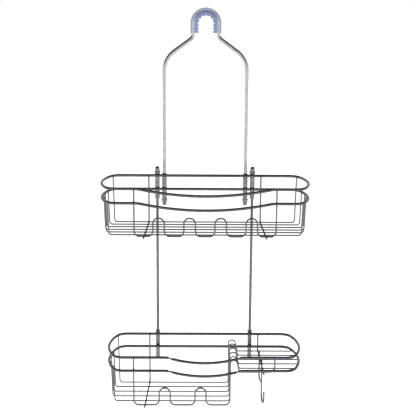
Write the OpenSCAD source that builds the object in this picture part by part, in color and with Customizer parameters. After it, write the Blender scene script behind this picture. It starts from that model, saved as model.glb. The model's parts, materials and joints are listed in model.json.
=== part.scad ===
// Over-the-arm shower caddy: a bent-wire hanger, an upper basket that slides on the hanger's legs,
// and a lower basket with a raised soap dish that hangs from it on two rods.
// Millimetres. Origin at the seat under the grip's arch, +X right, +Y towards the wall, +Z up.

/* [Hanger] */
// Diameter of the hanger wire
hanger_d = 6; // [5:0.1:8]
// Radius of the throat that sits on the shower arm
throat_r = 12.5; // [10:0.5:16]
// Half the spacing of the hanger wire at its neck, centre to centre
neck_half = 22; // [19:0.5:28]
// Depth of the straight neck below the seat
neck_drop = 32; // [30:1:50]
// Bend radius where the neck turns out into the shoulder
neck_bend_r = 9; // [6:0.5:14]
// Slope of the shoulders below horizontal, in degrees
shoulder_slope = 36; // [25:1:50]
// Bend radius where the shoulders turn down into the legs
shoulder_bend_r = 43; // [25:1:60]
// Half the spacing of the two legs
leg_half = 71; // [60:1:90]
// Seat to the foot of the sleeves that rest on the leg caps
leg_drop = 317; // [260:1:400]

/* [Grip] */
// Radial thickness of the grip, from throat to outside
grip_thick = 13.5; // [12.5:0.5:16]
// Depth of the grip along the shower arm
grip_depth = 14; // [10:1:20]
// Seat to the cut ends of the grip
grip_drop = 28.5; // [22:0.5:30]
// Radius of the grooves across the grip's inner face
grip_groove_r = 1.7; // [1:0.1:2.4]
// Groove pitch along the inner face
grip_pitch = 6; // [5.2:0.1:8]

/* [Sleeves, caps and rods] */
// Outside diameter of the four sleeves on the upper basket
sleeve_d = 8.3; // [8:0.1:10]
// Length of the sleeves on the upper basket
sleeve_len = 45; // [36:1:60]
// Diameter of the two lower rods
rod_d = 4.8; // [4:0.1:5.4]
// Distance from each leg out to the rod beside it
rod_offset = 12.5; // [12:0.1:16]
// Outside diameter of the sockets that hold the rods' feet
socket_d = 7.8; // [7:0.1:10]
// Length of the sockets
socket_len = 53; // [40:1:65]
// Height of the sockets' tops above the lower basket's top rail
socket_above = 5; // [3:0.5:10]
// Collar diameter of the acorn caps
cap_d = 10.2; // [9.6:0.1:11]
// Length of the acorn caps
cap_len = 12.5; // [11:0.5:16]

/* [Baskets] */
// Diameter of the rail wire
rail_d = 4.8; // [3.6:0.1:6]
// Diameter of the long floor wires
floor_d = 2.4; // [2:0.1:3.2]
// Diameter of the front and cross wires
brace_d = 2.8; // [2.2:0.1:3.4]
// Front-to-back size of both baskets, rail centre to rail centre
basket_depth = 117; // [100:1:140]
// Vertical spacing of the two rails of a basket
rail_gap = 24; // [18:1:32]
// How far a basket's bowed end stands out past its straight sides
end_bow = 28; // [26:1:34]
// Bend radius at a basket's corners
corner_r = 20; // [16:1:24]
// Inward lean of the floor wires' ends
end_draft = 2; // [0:0.5:4]
// Bend radius of the floor wires
floor_bend_r = 5; // [4:0.5:7]
// Half the spacing of the cross wires at the rear
cross_half = 98; // [90:1:108]
// How far the cross wires spread towards the front
cross_splay = 4; // [0:0.5:8]
// Width of a bump in the front wires
bump_w = 19; // [15:0.5:24]
// Height of a bump in the front wires
bump_h = 31; // [24:1:40]

/* [Upper basket] */
// Half the width of the upper basket
upper_half = 174.5; // [165:0.5:200]
// Depth of the upper basket's floor below its lower rail
upper_deep = 57; // [48:1:75]
// Sag of the front rails
upper_dip = 12; // [6:0.5:16]
// Half the width of the sag
upper_dip_half = 116; // [100:1:125]
// Half the spacing of the front wire's legs
upper_leg_half = 117.5; // [112:0.5:126]
// Spacing of the front wire's bumps
upper_bump_pitch = 51.4; // [46:0.2:54]

/* [Lower basket] */
// Half the width of the lower basket
lower_half = 166.5; // [158:0.5:190]
// Top rail of the upper basket down to the top rail of the lower one
basket_pitch = 292.5; // [260:0.5:360]
// Depth of the lower basket's floor below its lower rail
lower_deep = 64; // [54:1:80]
// Sag of the front rails
lower_dip = 10; // [6:0.5:14]
// Half the width of the sag
lower_dip_half = 68; // [60:1:80]
// Half the spacing of the front wire's legs
lower_leg_half = 120.5; // [114:0.5:126]
// Middle of the deep floor's first bump, left of centre
lower_bump_x = 67.6; // [60:0.2:74]
// Spacing of the deep floor's two bumps
lower_bump_pitch = 61.6; // [56:0.2:66]
// Place of the upright partition between the deep floor and the soap dish
partition_x = 44.5; // [38:0.5:50]
// Width of the razor loops on top of the partition
loop_w = 11; // [10.5:0.5:14]
// Height of the razor loops' centreline above the dish floor
loop_h = 21; // [16:0.5:28]
// How far the dish floor's first bend stands off the razor loops
loop_foot = 4.5; // [2:0.5:8]

/* [Towel hook] */
// Diameter of the hook wire
hook_d = 3; // [2.6:0.1:4]
// Length of the hook from its weld beside the cross wire to its bend
hook_len = 73; // [60:1:100]
// Inside bend radius of the hook, to the wire's centre
hook_r = 13; // [9:0.5:18]
// Length of the hook's upturned tip above its bend
hook_tip = 11; // [6:0.5:20]
// Sideways turn of the hook's plane, in degrees
hook_turn = 6; // [0:1:12]
// Weld beside the cross wire down to where the brace meets the shank
brace_drop = 43; // [34:1:48]

/* [Fits] */
// Radial clearance of a leg or rod in the sleeve it slides through
slide_clear = 0.06; // [0.03:0.01:0.1]
// Radial clearance of a wire end in its cap, socket or grip
seat_clear = 0.03; // [0.02:0.01:0.05]
// Gap between a cap and the sleeve that rests on it
rest_gap = 0.1; // [0.05:0.05:0.3]
// How deep two welded wires sink into each other
weld = 0.2; // [0.1:0.05:0.4]

/* [Hidden] */

// Number of floor wires in the upper basket and of long wires in the lower one
upper_wires = 6;
lower_wires = 5;

// Facets of a wire's section, of the curves it is bent along, and of turned parts
section_fn = 24;
path_fn = 120;
turned_fn = 48;

chrome = [0.72, 0.73, 0.75];
steel = [0.46, 0.48, 0.50];
vinyl = [0.58, 0.65, 0.77];

// Wire radii and the distance between the centres of two welded wires
rail_r = rail_d / 2;
floor_r = floor_d / 2;
brace_r = brace_d / 2;
hook_wire_r = hook_d / 2;
rail_floor = rail_r + floor_r - weld;
rail_brace = rail_r + brace_r - weld;
floor_brace = floor_r + brace_r - weld;

// Hanger: the shoulders drop by their own slope, less what the two bends round off
turn_out = 90 - shoulder_slope;
neck_z = -neck_drop - neck_bend_r * tan(turn_out / 2);
shoulder_z = neck_z - (leg_half - neck_half) * tan(shoulder_slope);
sleeve_foot_z = -leg_drop;
sleeve_top_z = sleeve_foot_z + sleeve_len;
cap_bore = 7;
wire_end_gap = 0.5;
leg_end_z = sleeve_foot_z - rest_gap - cap_bore + wire_end_gap;
rod_half = leg_half + rod_offset;

// Upper basket: its sleeves stand a little above the top rail, so that the rods' caps clear it;
// upper_first and upper_last are the margins behind the first floor wire and in front of the last
sleeve_above = 0.5;
upper_rail_z = sleeve_top_z - sleeve_above - rail_r;
upper_rail2_z = upper_rail_z - rail_gap;
upper_floor_z = upper_rail2_z - upper_deep;
upper_rear_y = -(sleeve_d / 2 + rail_r - weld);
upper_first = 10;
upper_last = 15;
upper_step = (basket_depth - upper_first - upper_last) / (upper_wires - 1);

// Lower basket: the dish floor runs under the lower rail and is welded to it
lower_rail_z = upper_rail_z - basket_pitch;
lower_rail2_z = lower_rail_z - rail_gap;
lower_floor_z = lower_rail2_z - lower_deep;
dish_z = lower_rail2_z - rail_floor;
lower_rear_y = -(socket_d / 2 + rail_r - weld);
lower_first = 14;
lower_last = 21;
lower_step = (basket_depth - lower_first - lower_last) / (lower_wires - 1);
socket_top_z = lower_rail_z + socket_above;
socket_floor = 3;
rod_top_z = sleeve_top_z + rest_gap + cap_bore - wire_end_gap;
rod_foot_z = socket_top_z - socket_len + socket_floor + wire_end_gap;

// Plan of a basket's end: corner bends of corner_r that run into one long bow
half_depth = basket_depth / 2;
bow_half_angle = 2 * atan((end_bow - corner_r) / (half_depth - corner_r));
bow_r = corner_r + (half_depth - corner_r) / sin(bow_half_angle);
corner_setback = corner_r * tan((90 - bow_half_angle) / 2);

// Half width of a curve that lies `inside` within the rail's centreline, `back` behind-to-front
function end_x(half, back, inside) =
    let (b = min(back, basket_depth - back))
    b < corner_r - (corner_r - inside) * sin(bow_half_angle)
        ? half - end_bow + sqrt(pow(corner_r - inside, 2) - pow(corner_r - b, 2))
        : half - bow_r + sqrt(pow(bow_r - inside, 2) - pow(half_depth - b, 2));

// Bends of a wire are made of bars and ring segments that stop short of each other by `seam`;
// a bead a hair larger than the wire closes each joint, turned so that its own seam lies clear.
seam = 0.1;
bead_over = 0.03;
bead_turn = 45;
shortest_bar = 0.6;

function unit(v) = v / norm(v);
function turn_at(a, b, c) = acos(max(-1, min(1, unit(b - a) * unit(c - b))));
// Length that the bend at point i takes from each of its two sides; 0 at an open end
function setback(path, i) =
    let (n = len(path), r = path[i][1])
    r == 0 ? 0 : r * tan(turn_at(path[(i + n - 1) % n][0], path[i][0], path[(i + 1) % n][0]) / 2);

// Stands what follows at point a, with its own z along the unit vector z
module along(a, z) {
    x = unit(cross(z, abs(z.z) < 0.9 ? [0, 0, 1] : [1, 0, 0]));
    y = cross(z, x);
    multmatrix([[x.x, y.x, z.x, a.x], [x.y, y.y, z.y, a.y], [x.z, y.z, z.z, a.z], [0, 0, 0, 1]])
        children();
}

module bar(a, b, r) {
    along(a, unit(b - a)) cylinder(r = r, h = norm(b - a), $fn = section_fn);
}

module bend(a, b, c, bend_r, r) {
    angle = turn_at(a, b, c);
    u = unit(b - a);
    n = unit(cross(u, unit(c - b)));
    m = cross(n, u);
    o = b - u * bend_r * tan(angle / 2) + m * bend_r;
    trim = seam / bend_r * 180 / PI;
    multmatrix([[-m.x, u.x, n.x, o.x], [-m.y, u.y, n.y, o.y], [-m.z, u.z, n.z, o.z], [0, 0, 0, 1]])
        rotate([0, 0, trim])
            rotate_extrude(angle = angle - 2 * trim, $fn = path_fn)
                translate([bend_r, 0]) circle(r = r, $fn = section_fn);
}

module bead(p, u, r) {
    along(p, u) rotate([0, 0, bead_turn]) sphere(r = r + bead_over, $fn = section_fn);
}

// A wire bent through the path's points: each is [point, bend radius], with radius 0 at open ends
module wire(path, d, closed = false) {
    n = len(path);
    r = d / 2;
    for (i = [0 : closed ? n - 1 : n - 2]) {
        j = (i + 1) % n;
        u = unit(path[j][0] - path[i][0]);
        s = setback(path, i);
        t = setback(path, j);
        a = path[i][0] + u * s;
        b = path[j][0] - u * t;
        if (norm(b - a) < shortest_bar) bead((a + b) / 2, u, r);
        else {
            if (s > 0) bead(a, u, r);
            bar(a + u * (s > 0 ? seam : 0), b - u * (t > 0 ? seam : 0), r);
            if (t > 0) bead(b, u, r);
        }
    }
    for (i = [0 : n - 1])
        if (path[i][1] > 0)
            bend(path[(i + n - 1) % n][0], path[i][0], path[(i + 1) % n][0], path[i][1], r);
}

// ---- Hanger ----

module hanger_wire() {
    arch_top = neck_half - throat_r;
    color(chrome) wire([
        [[-leg_half, 0, leg_end_z], 0],
        [[-leg_half, 0, shoulder_z], shoulder_bend_r],
        [[-neck_half, 0, neck_z], neck_bend_r],
        [[-neck_half, 0, arch_top], neck_half],
        [[neck_half, 0, arch_top], neck_half],
        [[neck_half, 0, neck_z], neck_bend_r],
        [[leg_half, 0, shoulder_z], shoulder_bend_r],
        [[leg_half, 0, leg_end_z], 0],
    ], hanger_d);
}

// Section of the grip, x measured out from the middle of the arch
module grip_section() {
    cut = 3;
    outer = throat_r + grip_thick;
    edge = 1;
    deep = grip_depth / 2;
    polygon([
        [throat_r, -deep + edge], [throat_r + edge, -deep],
        [outer - cut, -deep], [outer, -deep + cut],
        [outer, deep - cut], [outer - cut, deep],
        [throat_r + edge, deep], [throat_r, deep - edge],
    ]);
}

module hook_grip() {
    bore_r = hanger_d / 2 + seat_clear;
    leg = grip_drop - throat_r;
    arch_grooves = floor(PI * throat_r / grip_pitch);
    leg_grooves = floor((leg - grip_groove_r) / grip_pitch);
    color(vinyl) translate([0, 0, -throat_r]) difference() {
        union() {
            rotate([90, 0, 0]) rotate_extrude(angle = 180, $fn = path_fn) difference() {
                grip_section();
                translate([neck_half, 0]) circle(r = bore_r, $fn = section_fn);
            }
            for (side = [-1, 1])
                translate([0, 0, -leg]) linear_extrude(leg) difference() {
                    scale([side, 1]) grip_section();
                    translate([side * neck_half, 0]) circle(r = bore_r, $fn = section_fn);
                }
        }
        for (i = [0 : arch_grooves]) {
            a = 180 * i / arch_grooves;
            translate([throat_r * cos(a), 0, throat_r * sin(a)]) grip_groove();
        }
        for (side = [-1, 1], i = [1 : leg_grooves])
            translate([side * throat_r, 0, -i * grip_pitch]) grip_groove();
    }
}

module grip_groove() {
    rotate([90, 0, 0]) cylinder(r = grip_groove_r, h = grip_depth + 2, center = true, $fn = section_fn);
}

// Acorn cap pressed on a wire's end: open end down at z = 0, closed dome up. The collar, the
// tapering neck and the dome run `lap` into one another
module acorn_cap(wire_d) {
    collar = 4;
    lap = 0.5;
    neck_r = cap_d / 2 - 0.8;
    dome_r = cap_d / 2 - 1.2;
    neck_top = cap_len - dome_r + lap;
    color(chrome) difference() {
        union() {
            cylinder(r = cap_d / 2, h = collar, $fn = turned_fn);
            translate([0, 0, collar - lap])
                cylinder(r1 = neck_r, r2 = dome_r - lap / 2, h = neck_top - collar + lap, $fn = turned_fn);
            translate([0, 0, cap_len - dome_r]) sphere(r = dome_r, $fn = turned_fn);
        }
        translate([0, 0, -1])
            cylinder(r = wire_d / 2 + seat_clear, h = cap_bore + 1, $fn = turned_fn);
    }
}

module hanger_cap(side) {
    translate([side * leg_half, 0, sleeve_foot_z - rest_gap]) rotate([180, 0, 0]) acorn_cap(hanger_d);
}

// ---- Sleeves and rods ----

module sleeve(x, wire_d) {
    color(chrome) translate([x, 0, sleeve_foot_z]) difference() {
        cylinder(d = sleeve_d, h = sleeve_len, $fn = turned_fn);
        translate([0, 0, -1])
            cylinder(r = wire_d / 2 + slide_clear, h = sleeve_len + 2, $fn = turned_fn);
    }
}

module rod(side) {
    color(steel) translate([side * rod_half, 0, rod_foot_z])
        cylinder(d = rod_d, h = rod_top_z - rod_foot_z, $fn = section_fn);
}

module rod_cap(side) {
    translate([side * rod_half, 0, sleeve_top_z + rest_gap]) acorn_cap(rod_d);
}

// Socket for a rod's foot: a tube with a lip round its mouth and a rounded, closed foot
module rod_socket(side) {
    lip_h = 2.5;
    lip_over = 0.6;
    lap = 0.6;
    foot_over = 0.1;
    foot = socket_d / 2;
    color(chrome) translate([side * rod_half, 0, socket_top_z]) difference() {
        union() {
            translate([0, 0, -socket_len + foot - lap])
                cylinder(d = socket_d, h = socket_len - foot + lap, $fn = turned_fn);
            translate([0, 0, -lip_h]) cylinder(r = foot + lip_over, h = lip_h, $fn = turned_fn);
            translate([0, 0, -socket_len + foot + foot_over])
                sphere(r = foot + foot_over, $fn = turned_fn);
        }
        translate([0, 0, -socket_len + socket_floor])
            cylinder(r = rod_d / 2 + seat_clear, h = socket_len, $fn = turned_fn);
    }
}

// ---- Rails ----

// Closed rail: straight back, bowed ends, and a front that sags in the middle
function rail_path(half, y, z, dip, dip_half, lead_r) =
    let (
        slope = 2 * atan(dip / dip_half),
        sag_r = dip_half / sin(slope) - lead_r,
        lead = lead_r * tan(slope / 2),
        sag = (dip_half - lead) * tan(slope),
        side_x = half - end_bow + corner_setback,
        bow_x = half - bow_r + bow_r / cos(bow_half_angle),
        front_y = y - basket_depth
    )
    [
        [[side_x, y, z], corner_r],
        [[-side_x, y, z], corner_r],
        [[-bow_x, y - half_depth, z], bow_r],
        [[-side_x, front_y, z], corner_r],
        [[-dip_half + lead, front_y, z], lead_r],
        [[0, front_y, z - sag], sag_r],
        [[dip_half - lead, front_y, z], lead_r],
        [[side_x, front_y, z], corner_r],
        [[bow_x, y - half_depth, z], bow_r],
    ];

// Bend radius where a front rail leaves the level and starts to sag
upper_lead_r = 45;
lower_lead_r = 30;

module upper_rail(z) {
    path = rail_path(upper_half, upper_rear_y, z, upper_dip, upper_dip_half, upper_lead_r);
    color(steel) wire(path, rail_d, true);
}

module lower_rail(z) {
    path = rail_path(lower_half, lower_rear_y, z, lower_dip, lower_dip_half, lower_lead_r);
    color(steel) wire(path, rail_d, true);
}

// ---- Floor wires ----

// How far a wire's end stands above the middle of the rail it is welded to
end_above = 1;

// Upper floor wire: the rear one ends at the top rail, the others at the lower rail
module upper_floor_wire(number) {
    back = upper_first + (number - 1) * upper_step;
    y = upper_rear_y - back;
    top_x = end_x(upper_half, back, rail_floor);
    top_z = (number == 1 ? upper_rail_z : upper_rail2_z) + end_above;
    foot_x = top_x - end_draft;
    color(steel) wire([
        [[-top_x, y, top_z], 0],
        [[-foot_x, y, upper_floor_z], floor_bend_r],
        [[foot_x, y, upper_floor_z], floor_bend_r],
        [[top_x, y, top_z], 0],
    ], floor_d);
}

// Bend radius where a long wire leaves its razor loop for the dish floor
dish_bend_r = 4;
// How far the long wires' ends reach past the middle of the lower rail
dish_end_past = 0.5;

// The profile that the lower basket's long wires share from the partition to the dish floor
function partition(y, floor_z, dish_floor_z, foot_r) = [
    [[partition_x, y, floor_z], foot_r],
    [[partition_x, y, dish_z + loop_h], loop_w / 2],
    [[partition_x + loop_w, y, dish_z + loop_h], loop_w / 2],
    [[partition_x + loop_w + loop_foot, y, dish_floor_z], dish_bend_r],
];

// Lower long wire: deep floor, up the partition, over the razor loop and along the dish floor
module lower_long_wire(number) {
    back = lower_first + (number - 1) * lower_step;
    y = lower_rear_y - back;
    top_x = end_x(lower_half, back, rail_floor);
    top_z = (number == 1 ? lower_rail_z : lower_rail2_z) + end_above;
    color(steel) wire(concat(
        [[[-top_x, y, top_z], 0], [[-top_x + end_draft, y, lower_floor_z], floor_bend_r]],
        partition(y, lower_floor_z, dish_z, floor_bend_r),
        [[[end_x(lower_half, back, 0) + dish_end_past, y, dish_z], 0]]
    ), floor_d);
}

// ---- Front wires ----

function front_y(rear_y) = rear_y - basket_depth + rail_brace;
front_bend_r = 9;

// Corner points of one bump that stands on the floor line
function bump(x, y, z) = [
    [[x - bump_w / 2, y, z], front_bend_r],
    [[x - bump_w / 2, y, z + bump_h], bump_w / 2],
    [[x + bump_w / 2, y, z + bump_h], bump_w / 2],
    [[x + bump_w / 2, y, z], front_bend_r],
];

// Height of a front wire's low runs, which lie on the cross wires
function low_run_z(floor_z) = floor_z - floor_brace + brace_d - weld;

module upper_front_wire() {
    y = front_y(upper_rear_y);
    z = low_run_z(upper_floor_z);
    color(steel) wire(concat(
        [[[-upper_leg_half, y, upper_rail_z + end_above], 0], [[-upper_leg_half, y, z], front_bend_r]],
        [for (k = [-1.5 : 1 : 1.5]) each bump(k * upper_bump_pitch, y, z)],
        [[[upper_leg_half, y, z], front_bend_r], [[upper_leg_half, y, upper_rail_z + end_above], 0]]
    ), brace_d);
}

module lower_front_wire() {
    y = front_y(lower_rear_y);
    z = low_run_z(lower_floor_z);
    dish_run_z = low_run_z(dish_z);
    color(steel) wire(concat(
        [[[-lower_leg_half, y, lower_rail_z + end_above], 0], [[-lower_leg_half, y, z], front_bend_r]],
        bump(-lower_bump_x, y, z),
        bump(-lower_bump_x + lower_bump_pitch, y, z),
        partition(y, z, dish_run_z, front_bend_r),
        [[[lower_leg_half, y, dish_run_z], front_bend_r]],
        [[[lower_leg_half, y, lower_rail_z + end_above], 0]]
    ), brace_d);
}

// ---- Cross wires ----

cross_past_front = 5;

// A cross wire hangs down the back from the top rail, then runs forward under the floor
module cross_wire(side, rear_y, rail_z, floor_z) {
    y = rear_y - rail_brace;
    z = floor_z - floor_brace;
    color(steel) wire([
        [[side * cross_half, y, rail_z + end_above], 0],
        [[side * cross_half, y, z], floor_bend_r],
        [[side * (cross_half + cross_splay), front_y(rear_y) - cross_past_front, z], 0],
    ], brace_d);
}

module upper_cross_wire(side) {
    cross_wire(side, upper_rear_y, upper_rail_z, upper_floor_z);
}

// ---- Towel hook ----

// Right-hand side of the dish's cross wire, where the hook's two wires are lap-welded to it,
// `back` behind-to-front from the rear rail
function beside_cross_x(back) =
    let (run = basket_depth - 2 * rail_brace + cross_past_front)
    cross_half + cross_splay * (back - rail_brace) / run + brace_r + hook_wire_r - weld;
hook_top_z = dish_z - floor_r - rest_gap;
hook_back = 55;
brace_back = 10;

// Hook: a shank welded beside the cross wire, a J bend to the front and an upturned tip
module towel_hook() {
    shank = [beside_cross_x(hook_back), lower_rear_y - hook_back];
    bend_z = hook_top_z - hook_len;
    out = 2 * hook_r * [sin(hook_turn), -cos(hook_turn)];
    tip = shank + out;
    color(steel) wire([
        [[shank.x, shank.y, hook_top_z], 0],
        [[shank.x, shank.y, bend_z], hook_r],
        [[tip.x, tip.y, bend_z], hook_r],
        [[tip.x, tip.y, bend_z + hook_r + hook_tip], 0],
    ], hook_d);
}

// Brace: drops from the cross wire's rear and runs forward into the back of the shank
module towel_hook_brace() {
    top = [beside_cross_x(brace_back), lower_rear_y - brace_back];
    shank = [beside_cross_x(hook_back), lower_rear_y - hook_back];
    meet_z = hook_top_z - brace_drop;
    rise = 10;
    bend_r = 10;
    to_shank = unit([shank.x - top.x, shank.y - top.y]);
    end = shank - to_shank * (hook_wire_r - weld);
    color(steel) wire([
        [[top.x, top.y, hook_top_z], 0],
        [[top.x, top.y, meet_z - rise], bend_r],
        [[end.x, end.y, meet_z], 0],
    ], hook_d);
}

hanger_wire();
hook_grip();
hanger_cap(-1);  // hanger_cap_left
hanger_cap(1);  // hanger_cap_right
upper_rail(upper_rail_z);  // upper_top_rail
upper_rail(upper_rail2_z);  // upper_lower_rail
upper_floor_wire(1);  // upper_floor_wire_1
upper_floor_wire(2);  // upper_floor_wire_2
upper_floor_wire(3);  // upper_floor_wire_3
upper_floor_wire(4);  // upper_floor_wire_4
upper_floor_wire(5);  // upper_floor_wire_5
upper_floor_wire(6);  // upper_floor_wire_6
upper_front_wire();
upper_cross_wire(-1);  // upper_cross_wire_left
upper_cross_wire(1);  // upper_cross_wire_right
sleeve(-leg_half, hanger_d);  // hanger_sleeve_left
sleeve(leg_half, hanger_d);  // hanger_sleeve_right
sleeve(-rod_half, rod_d);  // rod_sleeve_left
sleeve(rod_half, rod_d);  // rod_sleeve_right
rod(-1);  // rod_left
rod(1);  // rod_right
rod_cap(-1);  // rod_cap_left
rod_cap(1);  // rod_cap_right
rod_socket(-1);  // rod_socket_left
rod_socket(1);  // rod_socket_right
lower_rail(lower_rail_z);  // lower_top_rail
lower_rail(lower_rail2_z);  // lower_lower_rail
lower_long_wire(1);  // lower_long_wire_1
lower_long_wire(2);  // lower_long_wire_2
lower_long_wire(3);  // lower_long_wire_3
lower_long_wire(4);  // lower_long_wire_4
lower_long_wire(5);  // lower_long_wire_5
lower_front_wire();
cross_wire(-1, lower_rear_y, lower_rail_z, lower_floor_z);  // lower_cross_wire
cross_wire(1, lower_rear_y, lower_rail_z, dish_z);  // dish_cross_wire
towel_hook();
towel_hook_brace();
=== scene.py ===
import json
import math

import bmesh
import bpy
import numpy as np
from mathutils import Euler, Matrix, Vector
from mathutils.kdtree import KDTree


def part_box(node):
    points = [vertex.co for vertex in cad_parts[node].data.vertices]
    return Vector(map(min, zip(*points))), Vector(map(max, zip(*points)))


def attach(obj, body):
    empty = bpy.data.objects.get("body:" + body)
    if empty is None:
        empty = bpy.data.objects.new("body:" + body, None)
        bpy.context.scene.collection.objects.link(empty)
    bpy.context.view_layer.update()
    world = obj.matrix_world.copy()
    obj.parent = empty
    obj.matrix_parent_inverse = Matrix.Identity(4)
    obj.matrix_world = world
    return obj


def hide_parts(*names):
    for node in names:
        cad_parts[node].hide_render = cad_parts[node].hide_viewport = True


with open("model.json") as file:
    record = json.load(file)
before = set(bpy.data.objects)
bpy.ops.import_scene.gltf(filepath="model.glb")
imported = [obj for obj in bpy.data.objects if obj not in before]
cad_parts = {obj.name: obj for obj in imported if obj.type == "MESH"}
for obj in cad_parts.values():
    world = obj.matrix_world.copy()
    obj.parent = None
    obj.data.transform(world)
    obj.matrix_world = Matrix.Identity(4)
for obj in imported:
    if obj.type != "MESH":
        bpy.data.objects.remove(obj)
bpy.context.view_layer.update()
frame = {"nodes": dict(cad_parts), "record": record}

mm = 0.001

# ---- Camera ----
# A person who stands in the tub sees the caddy from a little above its grip, at arm's length and
# more. A long lens keeps the two baskets' rails nearly level.

camera = bpy.data.objects.new("user_side_camera", bpy.data.cameras.new("long_lens"))
bpy.context.scene.collection.objects.link(camera)
bpy.context.scene.camera = camera
camera.data.lens = 85.25
eye = (-0.0146, -1.7, 0.0526)
tilt, turn, lean = math.radians(12.82), math.radians(0.69), math.radians(0.43)
aim = Euler((math.pi / 2 - tilt, 0, -turn)).to_matrix() @ Matrix.Rotation(lean, 3, "Z")
camera.matrix_world = Matrix.Translation(eye) @ aim.to_4x4()

# ---- Hanger wire ----
# One length of 6 mm stainless wire, drawn, straightened and bent cold into an arch, two sloping
# shoulders and two long legs, then mechanically polished. The cut feet hide inside the caps.

hanger_d = 6 * mm
neck_half, neck_drop = 22 * mm, 32 * mm
neck_bend, shoulder_bend = 9 * mm, 43 * mm
shoulder_slope = math.radians(36)
chamfer = 0.25 * mm
facets, facets_by_root = 6, 60  # per radian of bend: a few, and more with the radius's root
leg_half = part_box("hanger_wire")[1].x - hanger_d / 2
leg_end_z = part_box("hanger_wire")[0].z
arch_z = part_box("hanger_wire")[1].z - hanger_d / 2
neck_z = -neck_drop - neck_bend * math.tan((math.pi / 2 - shoulder_slope) / 2)
shoulder_z = neck_z - (leg_half - neck_half) * math.tan(shoulder_slope)


def add(tree, kind, inputs=None, **settings):
    """A new node with its settings; each input is a value, or an output to link it to."""
    made = tree.nodes.new(kind)
    for name, value in settings.items():
        setattr(made, name, value)
    for key, value in (inputs or {}).items():
        if isinstance(value, bpy.types.NodeSocket):
            tree.links.new(value, made.inputs[key])
        else:
            made.inputs[key].default_value = value
    return made


def hex_colour(code):
    """Linear RGBA of an sRGB hex code."""
    parts = [int(code[i : i + 2], 16) / 255 for i in (0, 2, 4)]
    return [c / 12.92 if c <= 0.04045 else ((c + 0.055) / 1.055) ** 2.4 for c in parts] + [1]


def wire_tree():
    """Sweeps a round wire along a chain of corners, each filleted to its own bend radius."""
    tree = bpy.data.node_groups.new("bent_round_wire", "GeometryNodeTree")
    for name, kind in (
        ("Corners", "NodeSocketGeometry"),
        ("Wire diameter", "NodeSocketFloat"),
        ("Sides", "NodeSocketInt"),
        ("Finish", "NodeSocketMaterial"),
    ):
        tree.interface.new_socket(name, in_out="INPUT", socket_type=kind)
    tree.interface.new_socket("Wire", in_out="OUTPUT", socket_type="NodeSocketGeometry")
    given = add(tree, "NodeGroupInput").outputs
    bend = add(tree, "GeometryNodeInputNamedAttribute", {"Name": "bend_radius"})
    steps = add(
        tree, "GeometryNodeInputNamedAttribute", {"Name": "bend_steps"}, data_type="INT"
    )
    girth = add(tree, "GeometryNodeInputNamedAttribute", {"Name": "girth"})
    line = add(tree, "GeometryNodeMeshToCurve", {"Mesh": given["Corners"]})
    bent = add(
        tree,
        "GeometryNodeFilletCurve",
        {"Curve": line.outputs[0], "Radius": bend.outputs[0], "Count": steps.outputs[0]},
        mode="POLY",
    )
    sized = add(
        tree,
        "GeometryNodeSetCurveRadius",
        {"Curve": bent.outputs[0], "Radius": girth.outputs[0]},
    )
    half = add(tree, "ShaderNodeMath", {0: given["Wire diameter"], 1: 0.5}, operation="MULTIPLY")
    section = add(
        tree,
        "GeometryNodeCurvePrimitiveCircle",
        {"Resolution": given["Sides"], "Radius": half.outputs[0]},
    )
    swept = add(
        tree,
        "GeometryNodeCurveToMesh",
        {"Curve": sized.outputs[0], "Profile Curve": section.outputs[0], "Fill Caps": True},
    )
    smooth = add(
        tree, "GeometryNodeSetShadeSmooth", {"Geometry": swept.outputs[0], "Shade Smooth": True}
    )
    whole = add(tree, "GeometryNodeRealizeInstances", {"Geometry": smooth.outputs[0]})
    done = add(
        tree,
        "GeometryNodeSetMaterial",
        {"Geometry": whole.outputs[0], "Material": given["Finish"]},
    )
    add(tree, "NodeGroupOutput", {0: done.outputs[0]})
    return tree


def grown(name, seed_mesh, tree, **values):
    """The plain mesh that a Geometry Nodes tree makes of seed_mesh with the named values."""
    seed = bpy.data.objects.new(name + "_seed", seed_mesh)
    bpy.context.scene.collection.objects.link(seed)
    modifier = seed.modifiers.new("grow", "NODES")
    modifier.node_group = tree
    for item in tree.interface.items_tree:
        if item.in_out == "INPUT" and item.name in values:
            modifier[item.identifier] = values[item.name]
    bpy.context.view_layer.update()
    shown = seed.evaluated_get(bpy.context.evaluated_depsgraph_get())
    mesh = bpy.data.meshes.new_from_object(shown)
    mesh.name = name
    seed.modifiers.remove(modifier)
    bpy.data.objects.remove(seed)
    piece = bpy.data.objects.new(name, mesh)
    bpy.context.scene.collection.objects.link(piece)
    return piece


def lay_uv(mesh, sides, closed):
    """Lays UV in metres, u along the wire and v round it, and returns the wire's centreline."""
    count = len(mesh.vertices)
    rings = count // sides
    co = np.zeros(count * 3)
    mesh.vertices.foreach_get("co", co)
    co = co.reshape(-1, 3)[: rings * sides].reshape(rings, sides, 3)
    middle = co.mean(1)
    follow = np.roll(middle, -1, 0) if closed else middle[1:]
    run = np.linalg.norm(follow - middle[: len(follow)], axis=1)
    along = np.concatenate([[0], np.cumsum(run)])
    circumference = np.linalg.norm(np.roll(co[0], -1, 0) - co[0], axis=1).sum()
    layer = mesh.uv_layers.new(name="along_wire")
    for face in mesh.polygons:
        if len(face.vertices) != 4:
            continue
        at = [v // sides for v in face.vertices], [v % sides for v in face.vertices]
        wraps = max(at[0]) - min(at[0]) > 1, max(at[1]) - min(at[1]) > 1
        for loop, ring, side in zip(face.loop_indices, *at):
            ring = rings if wraps[0] and ring == 0 else ring
            side = sides if wraps[1] and side == 0 else side
            layer.data[loop].uv = (along[ring], circumference * side / sides)
    return middle


bent_wire = wire_tree()
centrelines = {}


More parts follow.
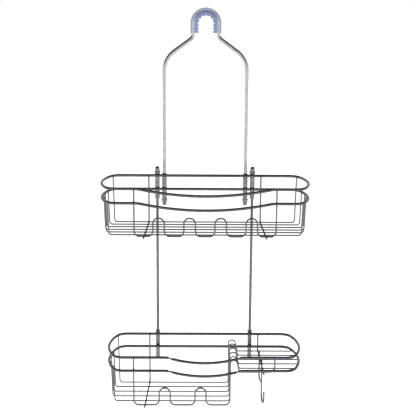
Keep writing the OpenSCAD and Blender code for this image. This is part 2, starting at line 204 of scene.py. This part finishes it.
def wire(node, corners, diameter, finish, body, closed=False, sides=24):
    """The bent wire that stands for a CAD node, from its (point, bend radius) corners in order.

    The cut ends get a small chamfer: a ring of less girth just before the full wire.
    """
    points, bends, girths = [], [], []
    for i, (point, bend) in enumerate(corners):
        at_end = not closed and i in (0, len(corners) - 1)
        if at_end:
            inward = Vector(corners[1 if i == 0 else i - 1][0]) - Vector(point)
            second = Vector(point) + inward.normalized() * chamfer
            pair = [(Vector(point), 1 - chamfer / diameter * 2), (second, 1)]
            for place, girth in pair if i == 0 else pair[::-1]:
                points.append(place)
                bends.append(0)
                girths.append(girth)
        else:
            points.append(Vector(point))
            bends.append(bend)
            girths.append(1)
    edges = [(i, i + 1) for i in range(len(points) - 1)]
    if closed:
        edges.append((len(points) - 1, 0))
    seed = bpy.data.meshes.new(node + "_corners")
    seed.from_pydata(points, edges, [])
    steps = []
    for i, bend in enumerate(bends):
        before = points[i] - points[i - 1]
        after = points[(i + 1) % len(points)] - points[i]
        swing = before.angle(after) if bend else 0
        steps.append(max(1, round(swing * (facets + facets_by_root * bend**0.5)) - 1))
    for name, kind, data in (
        ("bend_radius", "FLOAT", bends),
        ("girth", "FLOAT", girths),
        ("bend_steps", "INT", steps),
    ):
        seed.attributes.new(name, kind, "POINT").data.foreach_set("value", data)
    piece = grown(
        node + "_bent",
        seed,
        bent_wire,
        **{"Wire diameter": diameter, "Sides": sides, "Finish": finish},
    )
    centrelines[node] = lay_uv(piece.data, sides, closed), diameter / 2, closed
    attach(piece, body)
    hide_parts(node)


def steel(name, dark, light, rough, mark_depth):
    """Stainless steel: blotchy reflectance, and fine marks drawn out along the wire.

    Real draw marks are 0.02 mm apart. They are 0.12 mm here, the finest that a close view shows.
    """
    blotch_size, smear_size = 9 * mm, 1.6 * mm
    mark_length, mark_pitch, mark_relief = 14 * mm, 0.12 * mm, 0.02 * mm
    material = bpy.data.materials.new(name)
    material.use_nodes = True
    tree = material.node_tree
    shader = tree.nodes["Principled BSDF"]
    shader.inputs["Metallic"].default_value = 1
    place = add(tree, "ShaderNodeTexCoord")
    blotch = add(
        tree,
        "ShaderNodeTexNoise",
        {"Vector": place.outputs["Object"], "Scale": 1 / blotch_size, "Detail": 3},
    )
    tone = add(tree, "ShaderNodeValToRGB", {"Fac": blotch.outputs["Fac"]})
    tone.color_ramp.elements[0].position = 0.35
    tone.color_ramp.elements[0].color = hex_colour(dark)
    tone.color_ramp.elements[1].position = 0.65
    tone.color_ramp.elements[1].color = hex_colour(light)
    fine = add(
        tree,
        "ShaderNodeTexNoise",
        {"Vector": place.outputs["Object"], "Scale": 1 / smear_size, "Detail": 2},
    )
    polish = add(
        tree,
        "ShaderNodeMapRange",
        {"Value": fine.outputs["Fac"], "From Min": 0.3, "From Max": 0.7,
         "To Min": rough * 0.8, "To Max": rough * 1.25},
    )
    drawn = add(
        tree,
        "ShaderNodeMapping",
        {"Vector": place.outputs["UV"], "Scale": (1 / mark_length, 1 / mark_pitch, 1)},
    )
    marks = add(tree, "ShaderNodeTexNoise", {"Vector": drawn.outputs[0], "Scale": 1, "Detail": 1})
    relief = add(
        tree,
        "ShaderNodeBump",
        {"Height": marks.outputs["Fac"], "Strength": mark_depth, "Distance": mark_relief},
    )
    tree.links.new(tone.outputs["Color"], shader.inputs["Base Color"])
    tree.links.new(polish.outputs["Result"], shader.inputs["Roughness"])
    tree.links.new(relief.outputs["Normal"], shader.inputs["Normal"])
    return material


# Polished stainless wire: bright, with long soft reflections down each leg
polished_wire = steel("stainless_wire_polished", "D0D2D4", "E2E3E5", 0.1, 0.2)

wire(
    "hanger_wire",
    [
        ((-leg_half, 0, leg_end_z), 0),
        ((-leg_half, 0, shoulder_z), shoulder_bend),
        ((-neck_half, 0, neck_z), neck_bend),
        ((-neck_half, 0, arch_z), neck_half),
        ((neck_half, 0, arch_z), neck_half),
        ((neck_half, 0, neck_z), neck_bend),
        ((leg_half, 0, shoulder_z), shoulder_bend),
        ((leg_half, 0, leg_end_z), 0),
    ],
    hanger_d,
    polished_wire,
    "hanger",
)

# ---- Grip ----
# A soft vinyl moulding, clear with a blue tint, that is warmed and pushed over the arch. Teeth
# across its inner face bite on the shower arm, and its legs end in square cuts.

throat_r, outer_r = 12.5 * mm, 26 * mm
legs_below, arch_above = -12 * mm, 2 * mm
edge_waver = 1.2 * mm
cloud_size, skin_size = 8 * mm, 2.2 * mm


def clear_vinyl():
    """Plasticised PVC: clear at its thin outer wall, bluer at its thick toothed inside, with
    painted shade and painted reflection of the wire in its colour.
    """
    material = bpy.data.materials.new("soft_pvc_blue_clear")
    material.use_nodes = True
    tree = material.node_tree
    shader = tree.nodes["Principled BSDF"]
    shader.inputs["IOR"].default_value = 1.53
    shader.inputs["Transmission Weight"].default_value = 0.3
    place = add(tree, "ShaderNodeTexCoord")
    cloud = add(
        tree,
        "ShaderNodeTexNoise",
        {"Vector": place.outputs["Object"], "Scale": 1 / cloud_size, "Detail": 2},
    )
    # Distance from the middle of the arch, or from the grip's mid plane below it
    at = add(tree, "ShaderNodeSeparateXYZ", {0: place.outputs["Object"]})
    rise = add(tree, "ShaderNodeMath", {0: at.outputs["Z"], 1: throat_r}, operation="ADD")
    above = add(tree, "ShaderNodeMath", {0: rise.outputs[0], 1: 0.0}, operation="MAXIMUM")
    flat = add(tree, "ShaderNodeCombineXYZ", {"X": at.outputs["X"], "Z": above.outputs[0]})
    reach = add(tree, "ShaderNodeVectorMath", {0: flat.outputs[0]}, operation="LENGTH")
    ragged = add(
        tree,
        "ShaderNodeMath",
        {0: cloud.outputs["Fac"], 1: edge_waver, 2: reach.outputs["Value"]},
        operation="MULTIPLY_ADD",
    )
    depth = add(
        tree,
        "ShaderNodeMapRange",
        {"Value": ragged.outputs[0], "From Min": throat_r, "From Max": outer_r},
    )

    def bands(*stops):
        """Colours by depth, from the throat at 0 to the outer wall at 1."""
        ramp = add(tree, "ShaderNodeValToRGB", {"Fac": depth.outputs["Result"]})
        for stop, code in stops[1:-1]:
            ramp.color_ramp.elements.new(stop).color = hex_colour(code)
        ramp.color_ramp.elements[0].color = hex_colour(stops[0][1])
        ramp.color_ramp.elements[-1].color = hex_colour(stops[-1][1])
        return ramp.outputs["Color"]

    # Painted shade: a dark band round the arch where the wire inside shades it. Painted
    # reflection: a pale band down the legs where the bright wire shows through.
    arch = bands((0, "6F7DA2"), (0.46, "7886AA"), (0.6, "434E72"), (0.76, "9198AC"), (1, "868A99"))
    legs = bands((0, "6F7DA2"), (0.46, "808EB0"), (0.6, "9EA7BC"), (0.86, "B4B9C5"), (1, "797D8B"))
    in_arch = add(
        tree,
        "ShaderNodeMapRange",
        {"Value": at.outputs["Z"], "From Min": legs_below, "From Max": arch_above},
    )
    # The blend carries the arch's painted shade and the legs' painted reflection of the wire
    # Sockets 6 and 7 are the mix's two colours, and output 2 is its result
    tint_and_painted_wire_bands = add(
        tree,
        "ShaderNodeMix",
        {0: in_arch.outputs["Result"], 6: legs, 7: arch},
        data_type="RGBA",
    )
    skin = add(
        tree,
        "ShaderNodeTexNoise",
        {"Vector": place.outputs["Object"], "Scale": 1 / skin_size, "Detail": 2},
    )
    shine = add(
        tree,
        "ShaderNodeMapRange",
        {"Value": skin.outputs["Fac"], "From Min": 0.3, "From Max": 0.7,
         "To Min": 0.16, "To Max": 0.26},
    )
    relief = add(
        tree,
        "ShaderNodeBump",
        {"Height": skin.outputs["Fac"], "Strength": 0.05, "Distance": 0.02 * mm},
    )
    tree.links.new(tint_and_painted_wire_bands.outputs[2], shader.inputs["Base Color"])
    tree.links.new(shine.outputs["Result"], shader.inputs["Roughness"])
    tree.links.new(relief.outputs["Normal"], shader.inputs["Normal"])
    return material


def moulded_copy(node, name, edge, body, finish):
    """A CAD node's shape with its doubles merged, its flats made whole and its edges rounded."""
    mesh = frame["nodes"][node].data.copy()
    mesh.name = name
    shape = bmesh.new()
    shape.from_mesh(mesh)
    bmesh.ops.remove_doubles(shape, verts=shape.verts, dist=0.01 * mm)
    bmesh.ops.dissolve_limit(
        shape, angle_limit=math.radians(1), verts=shape.verts, edges=shape.edges
    )
    shape.to_mesh(mesh)
    shape.free()
    mesh.materials.clear()
    mesh.materials.append(finish)
    piece = bpy.data.objects.new(name, mesh)
    bpy.context.scene.collection.objects.link(piece)
    rounded = piece.modifiers.new("worn_edges", "BEVEL")
    rounded.width = edge
    rounded.segments = 2
    rounded.limit_method = "ANGLE"
    rounded.angle_limit = math.radians(32)
    bpy.context.view_layer.update()
    shown = piece.evaluated_get(bpy.context.evaluated_depsgraph_get())
    piece.data = bpy.data.meshes.new_from_object(shown)
    piece.modifiers.clear()
    piece.data.shade_smooth()
    piece.data.set_sharp_from_angle(angle=math.radians(38))
    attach(piece, body)
    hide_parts(node)


moulded_copy("hook_grip", "toothed_grip", 0.35 * mm, "hanger", clear_vinyl())

# ---- Acorn caps ----
# Small turned caps with a collar and a domed nose, plated. The two on the legs face down and
# carry the upper basket; the two on the rods face up and rest on the rod sleeves.

press_slack = 0.03 * mm
cap_bore_depth, collar_h, collar_round = 7 * mm, 3.6 * mm, 0.45 * mm
neck_low, neck_high, neck_round, neck_inset = 4 * mm, 6 * mm, 0.4 * mm, 0.95 * mm
dome_inset = 1.2 * mm


def turned(name, outline, foot, up, finish, body, replaced, sides=64):
    """Revolves a closed outline of (radius, height) about the vertical through foot."""
    shape = bmesh.new()
    rings = []
    for k in range(sides):
        angle = 2 * math.pi * k / sides * up
        rings.append([
            shape.verts.new(
                (foot[0] + r * math.cos(angle), foot[1] + r * math.sin(angle), foot[2] + up * h)
            )
            for r, h in outline
        ])
    for k in range(sides):
        here, there = rings[k], rings[(k + 1) % sides]
        for i in range(len(outline)):
            j = (i + 1) % len(outline)
            shape.faces.new((here[i], there[i], there[j], here[j]))
    bmesh.ops.remove_doubles(shape, verts=shape.verts, dist=0.001 * mm)
    bmesh.ops.recalc_face_normals(shape, faces=shape.faces)
    mesh = bpy.data.meshes.new(name)
    shape.to_mesh(mesh)
    shape.free()
    mesh.materials.append(finish)
    mesh.shade_smooth()
    mesh.set_sharp_from_angle(angle=math.radians(50))
    piece = bpy.data.objects.new(name, mesh)
    bpy.context.scene.collection.objects.link(piece)
    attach(piece, body)
    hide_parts(replaced)


def arc(middle, radius, start, end, steps):
    """Points of an arc in the outline's plane, with its angles in degrees."""
    angles = [math.radians(start + (end - start) * k / steps) for k in range(steps + 1)]
    return [(middle[0] + radius * math.cos(a), middle[1] + radius * math.sin(a)) for a in angles]


# Nickel and chrome plate on turned steel, greyer than real chrome so that it reads on white
dull_plate = steel("chrome_plate_on_turned_steel", "9C9EA2", "B6B8BC", 0.1, 0.08)


def acorn_cap(node, wire_d, up, body):
    """Collar, tapering neck and dome round a blind bore that holds the wire's end."""
    lo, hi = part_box(node)
    collar_r, length = (hi.x - lo.x) / 2, hi.z - lo.z
    bore, dome_r, lip = wire_d / 2 + press_slack, collar_r - dome_inset, collar_round
    outline = [(0, cap_bore_depth), (bore, cap_bore_depth), (bore, 0)]
    outline += arc((collar_r - lip, lip), lip, -90, 0, 4)
    outline += arc((collar_r - lip, collar_h - lip), lip, 0, 90, 4)
    outline += arc((collar_r - neck_round, neck_low), neck_round, -90, -180, 4)
    outline += [(collar_r - neck_inset, neck_high)]
    outline += arc((0, length - dome_r), dome_r, 8, 90, 14)
    foot = ((lo.x + hi.x) / 2, (lo.y + hi.y) / 2, lo.z if up > 0 else hi.z)
    turned(node + "_acorn", outline, foot, up, dull_plate, body, node)


for side in ("left", "right"):
    acorn_cap("hanger_cap_" + side, hanger_d, -1, "hanger")

# ---- Sleeves ----
# Four lengths of thin tube welded upright behind the upper basket. The inner pair slides on the
# hanger's legs and the outer pair on the rods. Their cut rims are deburred.

slide_clear, rim = 0.06 * mm, 0.3 * mm
rod_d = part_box("rod_left")[1].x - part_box("rod_left")[0].x


def sleeve(node, bore_d):
    """A plain tube with rounded rims; its axis joins the centrelines, for the welds."""
    lo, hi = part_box(node)
    outer = (hi.x - lo.x) / 2
    bore, length = bore_d / 2 + slide_clear, hi.z - lo.z
    outline = [(bore, length - rim), (bore, rim), (bore + rim / 2, 0)]
    outline += arc((outer - rim, rim), rim, -90, 0, 3)
    outline += arc((outer - rim, length - rim), rim, 0, 90, 3)
    outline += [(bore + rim / 2, length)]
    foot = ((lo.x + hi.x) / 2, (lo.y + hi.y) / 2, lo.z)
    turned(node + "_tube", outline, foot, 1, dull_plate, "upper_basket", node)
    axis = np.array([foot, (foot[0], foot[1], hi.z)])
    centrelines[node] = axis, outer, False


for side in ("left", "right"):
    sleeve("hanger_sleeve_" + side, hanger_d)
    sleeve("rod_sleeve_" + side, rod_d)

# ---- Upper basket's rails ----
# Two closed hoops of 4.8 mm wire, one above the other. Each is bent to a straight back, bowed ends
# and a front that sags in the middle, and its ends meet in a butt weld ground flush.

rail_d = 4.8 * mm
rail_r = rail_d / 2
corner_bend, end_bow = 20 * mm, 28 * mm

# Satin stainless wire: electropolished grey, darker than the hanger, with soft long glints
satin_wire = steel("stainless_wire_satin", "85878C", "9B9DA3", 0.38, 0.3)


def rail(node, dip_half, lead_bend, body):
    """A basket's hoop sized by the CAD hoop's box; the sag spans dip_half each side of middle."""
    lo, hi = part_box(node)
    half, level = hi.x - rail_r, hi.z - rail_r
    rear, front = hi.y - rail_r, lo.y + rail_r
    dip = level - (lo.z + rail_r)
    half_depth = (rear - front) / 2
    bow_angle = 2 * math.atan((end_bow - corner_bend) / (half_depth - corner_bend))
    bow_r = corner_bend + (half_depth - corner_bend) / math.sin(bow_angle)
    side_x = half - end_bow + corner_bend * math.tan((math.pi / 2 - bow_angle) / 2)
    bow_x = half - bow_r + bow_r / math.cos(bow_angle)
    slope = 2 * math.atan(dip / dip_half)
    sag_r = dip_half / math.sin(slope) - lead_bend
    lead_x = dip_half - lead_bend * math.tan(slope / 2)
    corners = [
        ((side_x, rear, level), corner_bend),
        ((-side_x, rear, level), corner_bend),
        ((-bow_x, (rear + front) / 2, level), bow_r),
        ((-side_x, front, level), corner_bend),
        ((-lead_x, front, level), lead_bend),
        ((0, front, level - lead_x * math.tan(slope)), sag_r),
        ((lead_x, front, level), lead_bend),
        ((side_x, front, level), corner_bend),
        ((bow_x, (rear + front) / 2, level), bow_r),
    ]
    wire(node, corners, rail_d, satin_wire, body, closed=True)


for node in ("upper_top_rail", "upper_lower_rail"):
    rail(node, dip_half=116 * mm, lead_bend=45 * mm, body="upper_basket")

# ---- Upper basket's floor wires ----
# Six thin wires side by side, each bent to a wide U. Their upright ends are cut square and welded
# inside the rails, the rear one to the top rail and the others to the lower one.

floor_d = 2.4 * mm
floor_bend = 5 * mm
draft = 2 * mm

for node in sorted(n for n in frame["nodes"] if n.startswith("upper_floor_wire")):
    lo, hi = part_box(node)
    y, top_x, floor_z = (lo.y + hi.y) / 2, hi.x - floor_d / 2, lo.z + floor_d / 2
    u_shape = [
        ((-top_x, y, hi.z), 0),
        ((-top_x + draft, y, floor_z), floor_bend),
        ((top_x - draft, y, floor_z), floor_bend),
        ((top_x, y, hi.z), 0),
    ]
    wire(node, u_shape, floor_d, satin_wire, "upper_basket")

# ---- Upper basket's front wire ----
# One long wire that drops from the rails at each end and runs along the floor's front, with tall
# hairpin bumps formed in it to keep bottles in.

brace_d = 2.8 * mm
bump_w, bump_h, bump_pitch = 19 * mm, 31 * mm, 51.4 * mm
run_bend = 9 * mm


def bump(x, y, z):
    """Corners of one hairpin that stands on the low run."""
    left, right = x - bump_w / 2, x + bump_w / 2
    return [
        ((left, y, z), run_bend),
        ((left, y, z + bump_h), bump_w / 2),
        ((right, y, z + bump_h), bump_w / 2),
        ((right, y, z), run_bend),
    ]


lo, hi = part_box("upper_front_wire")
y, run_z, leg_x = (lo.y + hi.y) / 2, lo.z + brace_d / 2, hi.x - brace_d / 2
front_line = [((-leg_x, y, hi.z), 0), ((-leg_x, y, run_z), run_bend)]
for k in (-1.5, -0.5, 0.5, 1.5):
    front_line += bump(k * bump_pitch, y, run_z)
front_line += [((leg_x, y, run_z), run_bend), ((leg_x, y, hi.z), 0)]
wire("upper_front_wire", front_line, brace_d, satin_wire, "upper_basket")

# ---- Cross wires ----
# Each hangs down the basket's back from the top rail, turns under the floor and runs forward past
# the front, a little splayed. The floor wires lie on it and are welded at every crossing.


def cross_wire(node, side, body):
    """side is -1 on the left and 1 on the right."""
    lo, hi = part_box(node)
    near, far = sorted((abs(lo.x), abs(hi.x)))
    r = brace_d / 2
    back, run_z = hi.y - r, lo.z + r
    corners = [
        ((side * (near + r), back, hi.z), 0),
        ((side * (near + r), back, run_z), floor_bend),
        ((side * (far - r), lo.y, run_z), 0),
    ]
    wire(node, corners, brace_d, satin_wire, body)


cross_wire("upper_cross_wire_left", -1, "upper_basket")
cross_wire("upper_cross_wire_right", 1, "upper_basket")

# ---- Rods ----
# Two straight rods carry the lower basket. Their capped tops rest on the rod sleeves, and their
# feet are pressed into closed sockets at the lower basket's back.

socket_floor, mouth_round = 3 * mm, 0.3 * mm
lip_out, lip_h, lip_roll, lip_step = 0.6 * mm, 2.5 * mm, 0.5 * mm, 0.2 * mm

for side in ("left", "right"):
    node = "rod_" + side
    lo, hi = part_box(node)
    x, y = (lo.x + hi.x) / 2, (lo.y + hi.y) / 2
    wire(
        node,
        [((x, y, lo.z), 0), ((x, y, hi.z), 0)],
        rod_d,
        satin_wire,
        "lower_basket",
        sides=32,
    )
    acorn_cap("rod_cap_" + side, rod_d, 1, "lower_basket")

    # Socket: a closed tube with a rolled lip round its mouth
    node = "rod_socket_" + side
    lo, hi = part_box(node)
    lip_r, length = (hi.x - lo.x) / 2, hi.z - lo.z
    tube_r, bore = lip_r - lip_out, rod_d / 2 + press_slack
    outline = [(0, socket_floor), (bore, socket_floor)]
    outline += [(bore, length - mouth_round), (bore + mouth_round, length)]
    outline += arc((lip_r - lip_roll, length - lip_roll), lip_roll, 90, 0, 4)
    outline += arc((lip_r - lip_roll, length - lip_h + lip_roll), lip_roll, 0, -90, 4)
    outline += [(tube_r, length - lip_h - lip_step)]
    outline += arc((0, tube_r), tube_r, 0, -90, 12)
    turned(
        node + "_tube",
        outline,
        (x, y, lo.z),
        1,
        dull_plate,
        "lower_basket",
        node,
    )
    centrelines[node] = np.array([(x, y, lo.z), (x, y, hi.z)]), tube_r, False

# ---- Lower basket's rails ----
# The same two hoops as the upper basket's, a little narrower, with a shorter sag at the front.

for node in ("lower_top_rail", "lower_lower_rail"):
    rail(node, dip_half=68 * mm, lead_bend=30 * mm, body="lower_basket")

# ---- Lower basket's long wires ----
# Each is one wire: up the left end, along the deep floor, up the partition, over a razor loop and
# along the shallow soap dish to the right end, where it is cut flush under the rail.

weld = 0.2 * mm
dish_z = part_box("lower_lower_rail")[1].z - rail_d - floor_d / 2 + weld
partition_x, loop_w, loop_h, loop_foot = 44.5 * mm, 11 * mm, 21 * mm, 4.5 * mm
dish_bend, end_above = 4 * mm, 1 * mm


def partition(y, floor_z, dish_floor_z, bend):
    """Corners from the deep floor, over the razor loop and down to the dish floor."""
    loop_x = partition_x + loop_w
    return [
        ((partition_x, y, floor_z), bend),
        ((partition_x, y, dish_z + loop_h), loop_w / 2),
        ((loop_x, y, dish_z + loop_h), loop_w / 2),
        ((loop_x + loop_foot, y, dish_floor_z), dish_bend),
    ]


for node in sorted(n for n in frame["nodes"] if n.startswith("lower_long_wire")):
    lo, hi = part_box(node)
    y, left_x, floor_z = (lo.y + hi.y) / 2, lo.x + floor_d / 2, lo.z + floor_d / 2
    held_by = "lower_top_rail" if node.endswith("_1") else "lower_lower_rail"
    end_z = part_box(held_by)[1].z - rail_r + end_above
    line = [((left_x, y, end_z), 0), ((left_x + draft, y, floor_z), floor_bend)]
    line += partition(y, floor_z, dish_z, floor_bend)
    line += [((hi.x, y, dish_z), 0)]
    wire(node, line, floor_d, satin_wire, "lower_basket")

# ---- Lower basket's front and cross wires ----
# The front wire has two bumps along the deep floor and follows the partition up to the dish. One
# cross wire runs under the deep floor and another under the dish.

left_bump_x, right_bump_x = -67.6 * mm, -6 * mm
lo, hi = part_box("lower_front_wire")
y, run_z, leg_x = (lo.y + hi.y) / 2, lo.z + brace_d / 2, hi.x - brace_d / 2
dish_run_z = dish_z + (brace_d - floor_d) / 2
front_line = [((-leg_x, y, hi.z), 0), ((-leg_x, y, run_z), run_bend)]
front_line += bump(left_bump_x, y, run_z) + bump(right_bump_x, y, run_z)
front_line += partition(y, run_z, dish_run_z, run_bend)
front_line += [((leg_x, y, dish_run_z), run_bend), ((leg_x, y, hi.z), 0)]
wire("lower_front_wire", front_line, brace_d, satin_wire, "lower_basket")

cross_wire("lower_cross_wire", -1, "lower_basket")
cross_wire("dish_cross_wire", 1, "lower_basket")

# ---- Towel hook ----
# A J hook of 3 mm wire welded beside the dish's cross wire. A second wire braces it from behind
# and is welded to the back of its shank.

hook_d, tip_rise = 3 * mm, 11 * mm
hook_r = hook_d / 2
brace_drop, brace_bend = 43 * mm, 10 * mm
lo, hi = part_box("towel_hook")
shank = Vector((lo.x + hook_r, hi.y - hook_r, 0))
tip = Vector((hi.x - hook_r, lo.y + hook_r, 0))
hook_bend = (tip - shank).length / 2
bend_z = Vector((0, 0, lo.z + hook_r))
j_shape = [
    (shank + Vector((0, 0, hi.z)), 0),
    (shank + bend_z, hook_bend),
    (tip + bend_z, hook_bend),
    (tip + bend_z + Vector((0, 0, hook_bend + tip_rise)), 0),
]
wire("towel_hook", j_shape, hook_d, satin_wire, "lower_basket")

lo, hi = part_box("towel_hook_brace")
top = Vector((lo.x + hook_r, hi.y - hook_r, 0))
meet = Vector((0, 0, hi.z - brace_drop))
stop = shank - (shank - top).normalized() * (hook_r - weld)
brace_line = [
    (top + Vector((0, 0, hi.z)), 0),
    (top + meet - Vector((0, 0, brace_bend)), brace_bend),
    (stop + meet, 0),
]
wire("towel_hook_brace", brace_line, hook_d, satin_wire, "lower_basket")

# ---- Spot welds ----
# Every crossing is squeezed and spot welded, which leaves a small flattened bead in the corner
# between the two wires, browned by the heat.

bead_width, bead_height = 1.25, 0.62  # of the thinner wire's radius
search_step, least_bite, least_crossing = 0.5 * mm, 0.05 * mm, 0.3


def nugget_tree():
    """A squashed ball on each point, sized and turned by the point's own attributes."""
    tree = bpy.data.node_groups.new("spot_weld_beads", "GeometryNodeTree")
    for name, kind in (
        ("Crossings", "NodeSocketGeometry"),
        ("Rings", "NodeSocketInt"),
        ("Finish", "NodeSocketMaterial"),
    ):
        tree.interface.new_socket(name, in_out="INPUT", socket_type=kind)
    tree.interface.new_socket("Beads", in_out="OUTPUT", socket_type="NodeSocketGeometry")
    given = add(tree, "NodeGroupInput").outputs
    ball = add(
        tree, "GeometryNodeMeshUVSphere", {"Segments": 14, "Rings": given["Rings"], "Radius": 1}
    )
    turn = add(
        tree,
        "GeometryNodeInputNamedAttribute",
        {"Name": "turn"},
        data_type="QUATERNION",
    )
    size = add(
        tree,
        "GeometryNodeInputNamedAttribute",
        {"Name": "size"},
        data_type="FLOAT_VECTOR",
    )
    placed = add(
        tree,
        "GeometryNodeInstanceOnPoints",
        {
            "Points": given["Crossings"],
            "Instance": ball.outputs["Mesh"],
            "Rotation": turn.outputs[0],
            "Scale": size.outputs[0],
        },
    )
    whole = add(tree, "GeometryNodeRealizeInstances", {"Geometry": placed.outputs[0]})
    smooth = add(
        tree, "GeometryNodeSetShadeSmooth", {"Geometry": whole.outputs[0], "Shade Smooth": True}
    )
    done = add(
        tree,
        "GeometryNodeSetMaterial",
        {"Geometry": smooth.outputs[0], "Material": given["Finish"]},
    )
    add(tree, "NodeGroupOutput", {0: done.outputs[0]})
    return tree


def dense(node):
    """Points each half millimetre along a wire's centreline, with the wire's direction there."""
    line, radius, closed = centrelines[node]
    line = np.vstack([line, line[:1]]) if closed else line
    points, heads = [], []
    for a, b in zip(line[:-1], line[1:]):
        run = np.linalg.norm(b - a)
        if run < 1e-7:
            continue
        count = max(1, int(run / search_step))
        for k in range(count):
            points.append(a + (b - a) * k / count)
            heads.append((b - a) / run)
    return np.array(points), np.array(heads), radius


def crossings(first, second):
    """The (place, both directions) of each touch of two wires, and the thinner one's radius."""
    points, heads, radius = dense(first)
    others, other_heads, other_radius = dense(second)
    tree = KDTree(len(others))
    for i, p in enumerate(others):
        tree.insert(p, i)
    tree.balance()
    reach, found, run = radius + other_radius, [], []
    for i, p in enumerate(points):
        place, j, gap = tree.find(p)
        if gap < reach - least_bite:
            run.append((gap, i, j))
        if run and (gap >= reach - least_bite or i == len(points) - 1):
            gap, a, b = min(run)
            share = radius / reach
            found.append((points[a] * (1 - share) + others[b] * share, heads[a], other_heads[b]))
            run = []
    return found, min(radius, other_radius)


weld_tree = nugget_tree()
heat_tint = steel("spot_weld_heat_tint", "3B3733", "5A5550", 0.42, 0)
joined = frame["record"]["behaviour"]["press_fits"]
for body in ("upper_basket", "lower_basket"):
    members = frame["record"]["behaviour"]["bodies"][body]
    places, turns, sizes = [], [], []
    for first, second in joined:
        if first not in members or not {first, second} <= set(centrelines):
            continue
        found, thin = crossings(first, second)
        for place, head, other in found:
            across = np.cross(head, other)
            if np.linalg.norm(across) < least_crossing:
                continue
            across /= np.linalg.norm(across)
            side = np.cross(across, head)
            basis = Matrix((head, side, across)).transposed()
            places.append(place)
            turns.append(basis.to_quaternion())
            sizes.append((bead_width * thin, bead_width * thin, bead_height * thin))
    seed = bpy.data.meshes.new(body + "_crossings")
    seed.from_pydata(places, [], [])
    size = seed.attributes.new("size", "FLOAT_VECTOR", "POINT")
    size.data.foreach_set("vector", np.array(sizes).ravel())
    turn = seed.attributes.new("turn", "QUATERNION", "POINT")
    turn.data.foreach_set("value", np.array(turns).ravel())
    beads = grown(body + "_spot_welds", seed, weld_tree, Rings=8, Finish=heat_tint)
    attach(beads, body)

# ---- Studio ----
# A pale floor well below and a pale sweep behind, under a dark ceiling that only shows as the dark
# upper edges of the polished wires. Three large soft lights.

ground_z, ground_half = -1.25, 12
quarters = (-1, -1), (1, -1), (1, 1), (-1, 1)
floor_mesh = bpy.data.meshes.new("pale_floor")
floor_mesh.from_pydata(
    [(x * ground_half, y * ground_half, ground_z) for x, y in quarters], [], [(0, 1, 2, 3)]
)
floor = bpy.data.objects.new("pale_floor", floor_mesh)
bpy.context.scene.collection.objects.link(floor)
floor.visible_glossy = False
paint = bpy.data.materials.new("matt_white_floor_paint")
paint.use_nodes = True
plain = paint.node_tree.nodes["Principled BSDF"]
plain.inputs["Base Color"].default_value = hex_colour("FAFAFA")
plain.inputs["Roughness"].default_value = 0.9
plain.inputs["Emission Color"].default_value = hex_colour("FFFFFF")
plain.inputs["Emission Strength"].default_value = 0.35
floor_mesh.materials.append(paint)

world = bpy.data.worlds.new("pale_studio")
bpy.context.scene.world = world
world.use_nodes = True
sky = world.node_tree
sky.nodes.clear()
where = add(sky, "ShaderNodeTexCoord")
split = add(sky, "ShaderNodeSeparateXYZ", {0: where.outputs["Generated"]})


def fade(value, start, end):
    """0 at start and 1 at end, with a soft step between; start may be the larger of the two."""
    return add(
        sky,
        "ShaderNodeMapRange",
        {"Value": value, "From Min": start, "From Max": end},
        interpolation_type="SMOOTHSTEP",
    ).outputs["Result"]


overhead = fade(split.outputs["Z"], -0.05, 0.32)
in_front = fade(split.outputs["Y"], 0.97, 0.72)
dark = add(sky, "ShaderNodeMath", {0: overhead, 1: in_front}, operation="MULTIPLY")
table = add(sky, "ShaderNodeValToRGB", {"Fac": fade(split.outputs["Z"], -1, -0.3)})
table.color_ramp.elements[0].color = hex_colour("BEBEBE")
table.color_ramp.elements[1].color = hex_colour("F2F2F2")
# Sockets 6 and 7 are the mix's two colours, and output 2 is its result
room = add(
    sky,
    "ShaderNodeMix",
    {0: dark.outputs[0], 6: table.outputs["Color"], 7: hex_colour("151516")},
    data_type="RGBA",
)
seen = add(sky, "ShaderNodeLightPath")
plain_sky = add(sky, "ShaderNodeBackground", {"Color": hex_colour("FFFFFF"), "Strength": 1})
mirrored = add(sky, "ShaderNodeBackground", {"Color": room.outputs[2], "Strength": 0.9})
either = add(
    sky,
    "ShaderNodeMixShader",
    {0: seen.outputs["Is Glossy Ray"], 1: plain_sky.outputs[0], 2: mirrored.outputs[0]},
)
add(sky, "ShaderNodeOutputWorld", {"Surface": either.outputs[0]})

lamp_aim = Vector((0, -0.05, -0.35))
for name, place, size, power in (
    ("overhead_softbox", (0.1, -0.3, 1.6), 1.6, 26),
    ("left_softbox", (-1.9, -1.2, 0.5), 1.1, 20),
    ("right_softbox", (2.0, -0.7, 0.2), 0.7, 7),
):
    lamp = bpy.data.lights.new(name, "AREA")
    lamp.size, lamp.energy = size, power
    holder = bpy.data.objects.new(name, lamp)
    holder.visible_glossy = False
    bpy.context.scene.collection.objects.link(holder)
    heading = (lamp_aim - Vector(place)).to_track_quat("-Z", "Y")
    holder.matrix_world = Matrix.Translation(place) @ heading.to_matrix().to_4x4()

bpy.context.scene.view_settings.view_transform = "Standard"
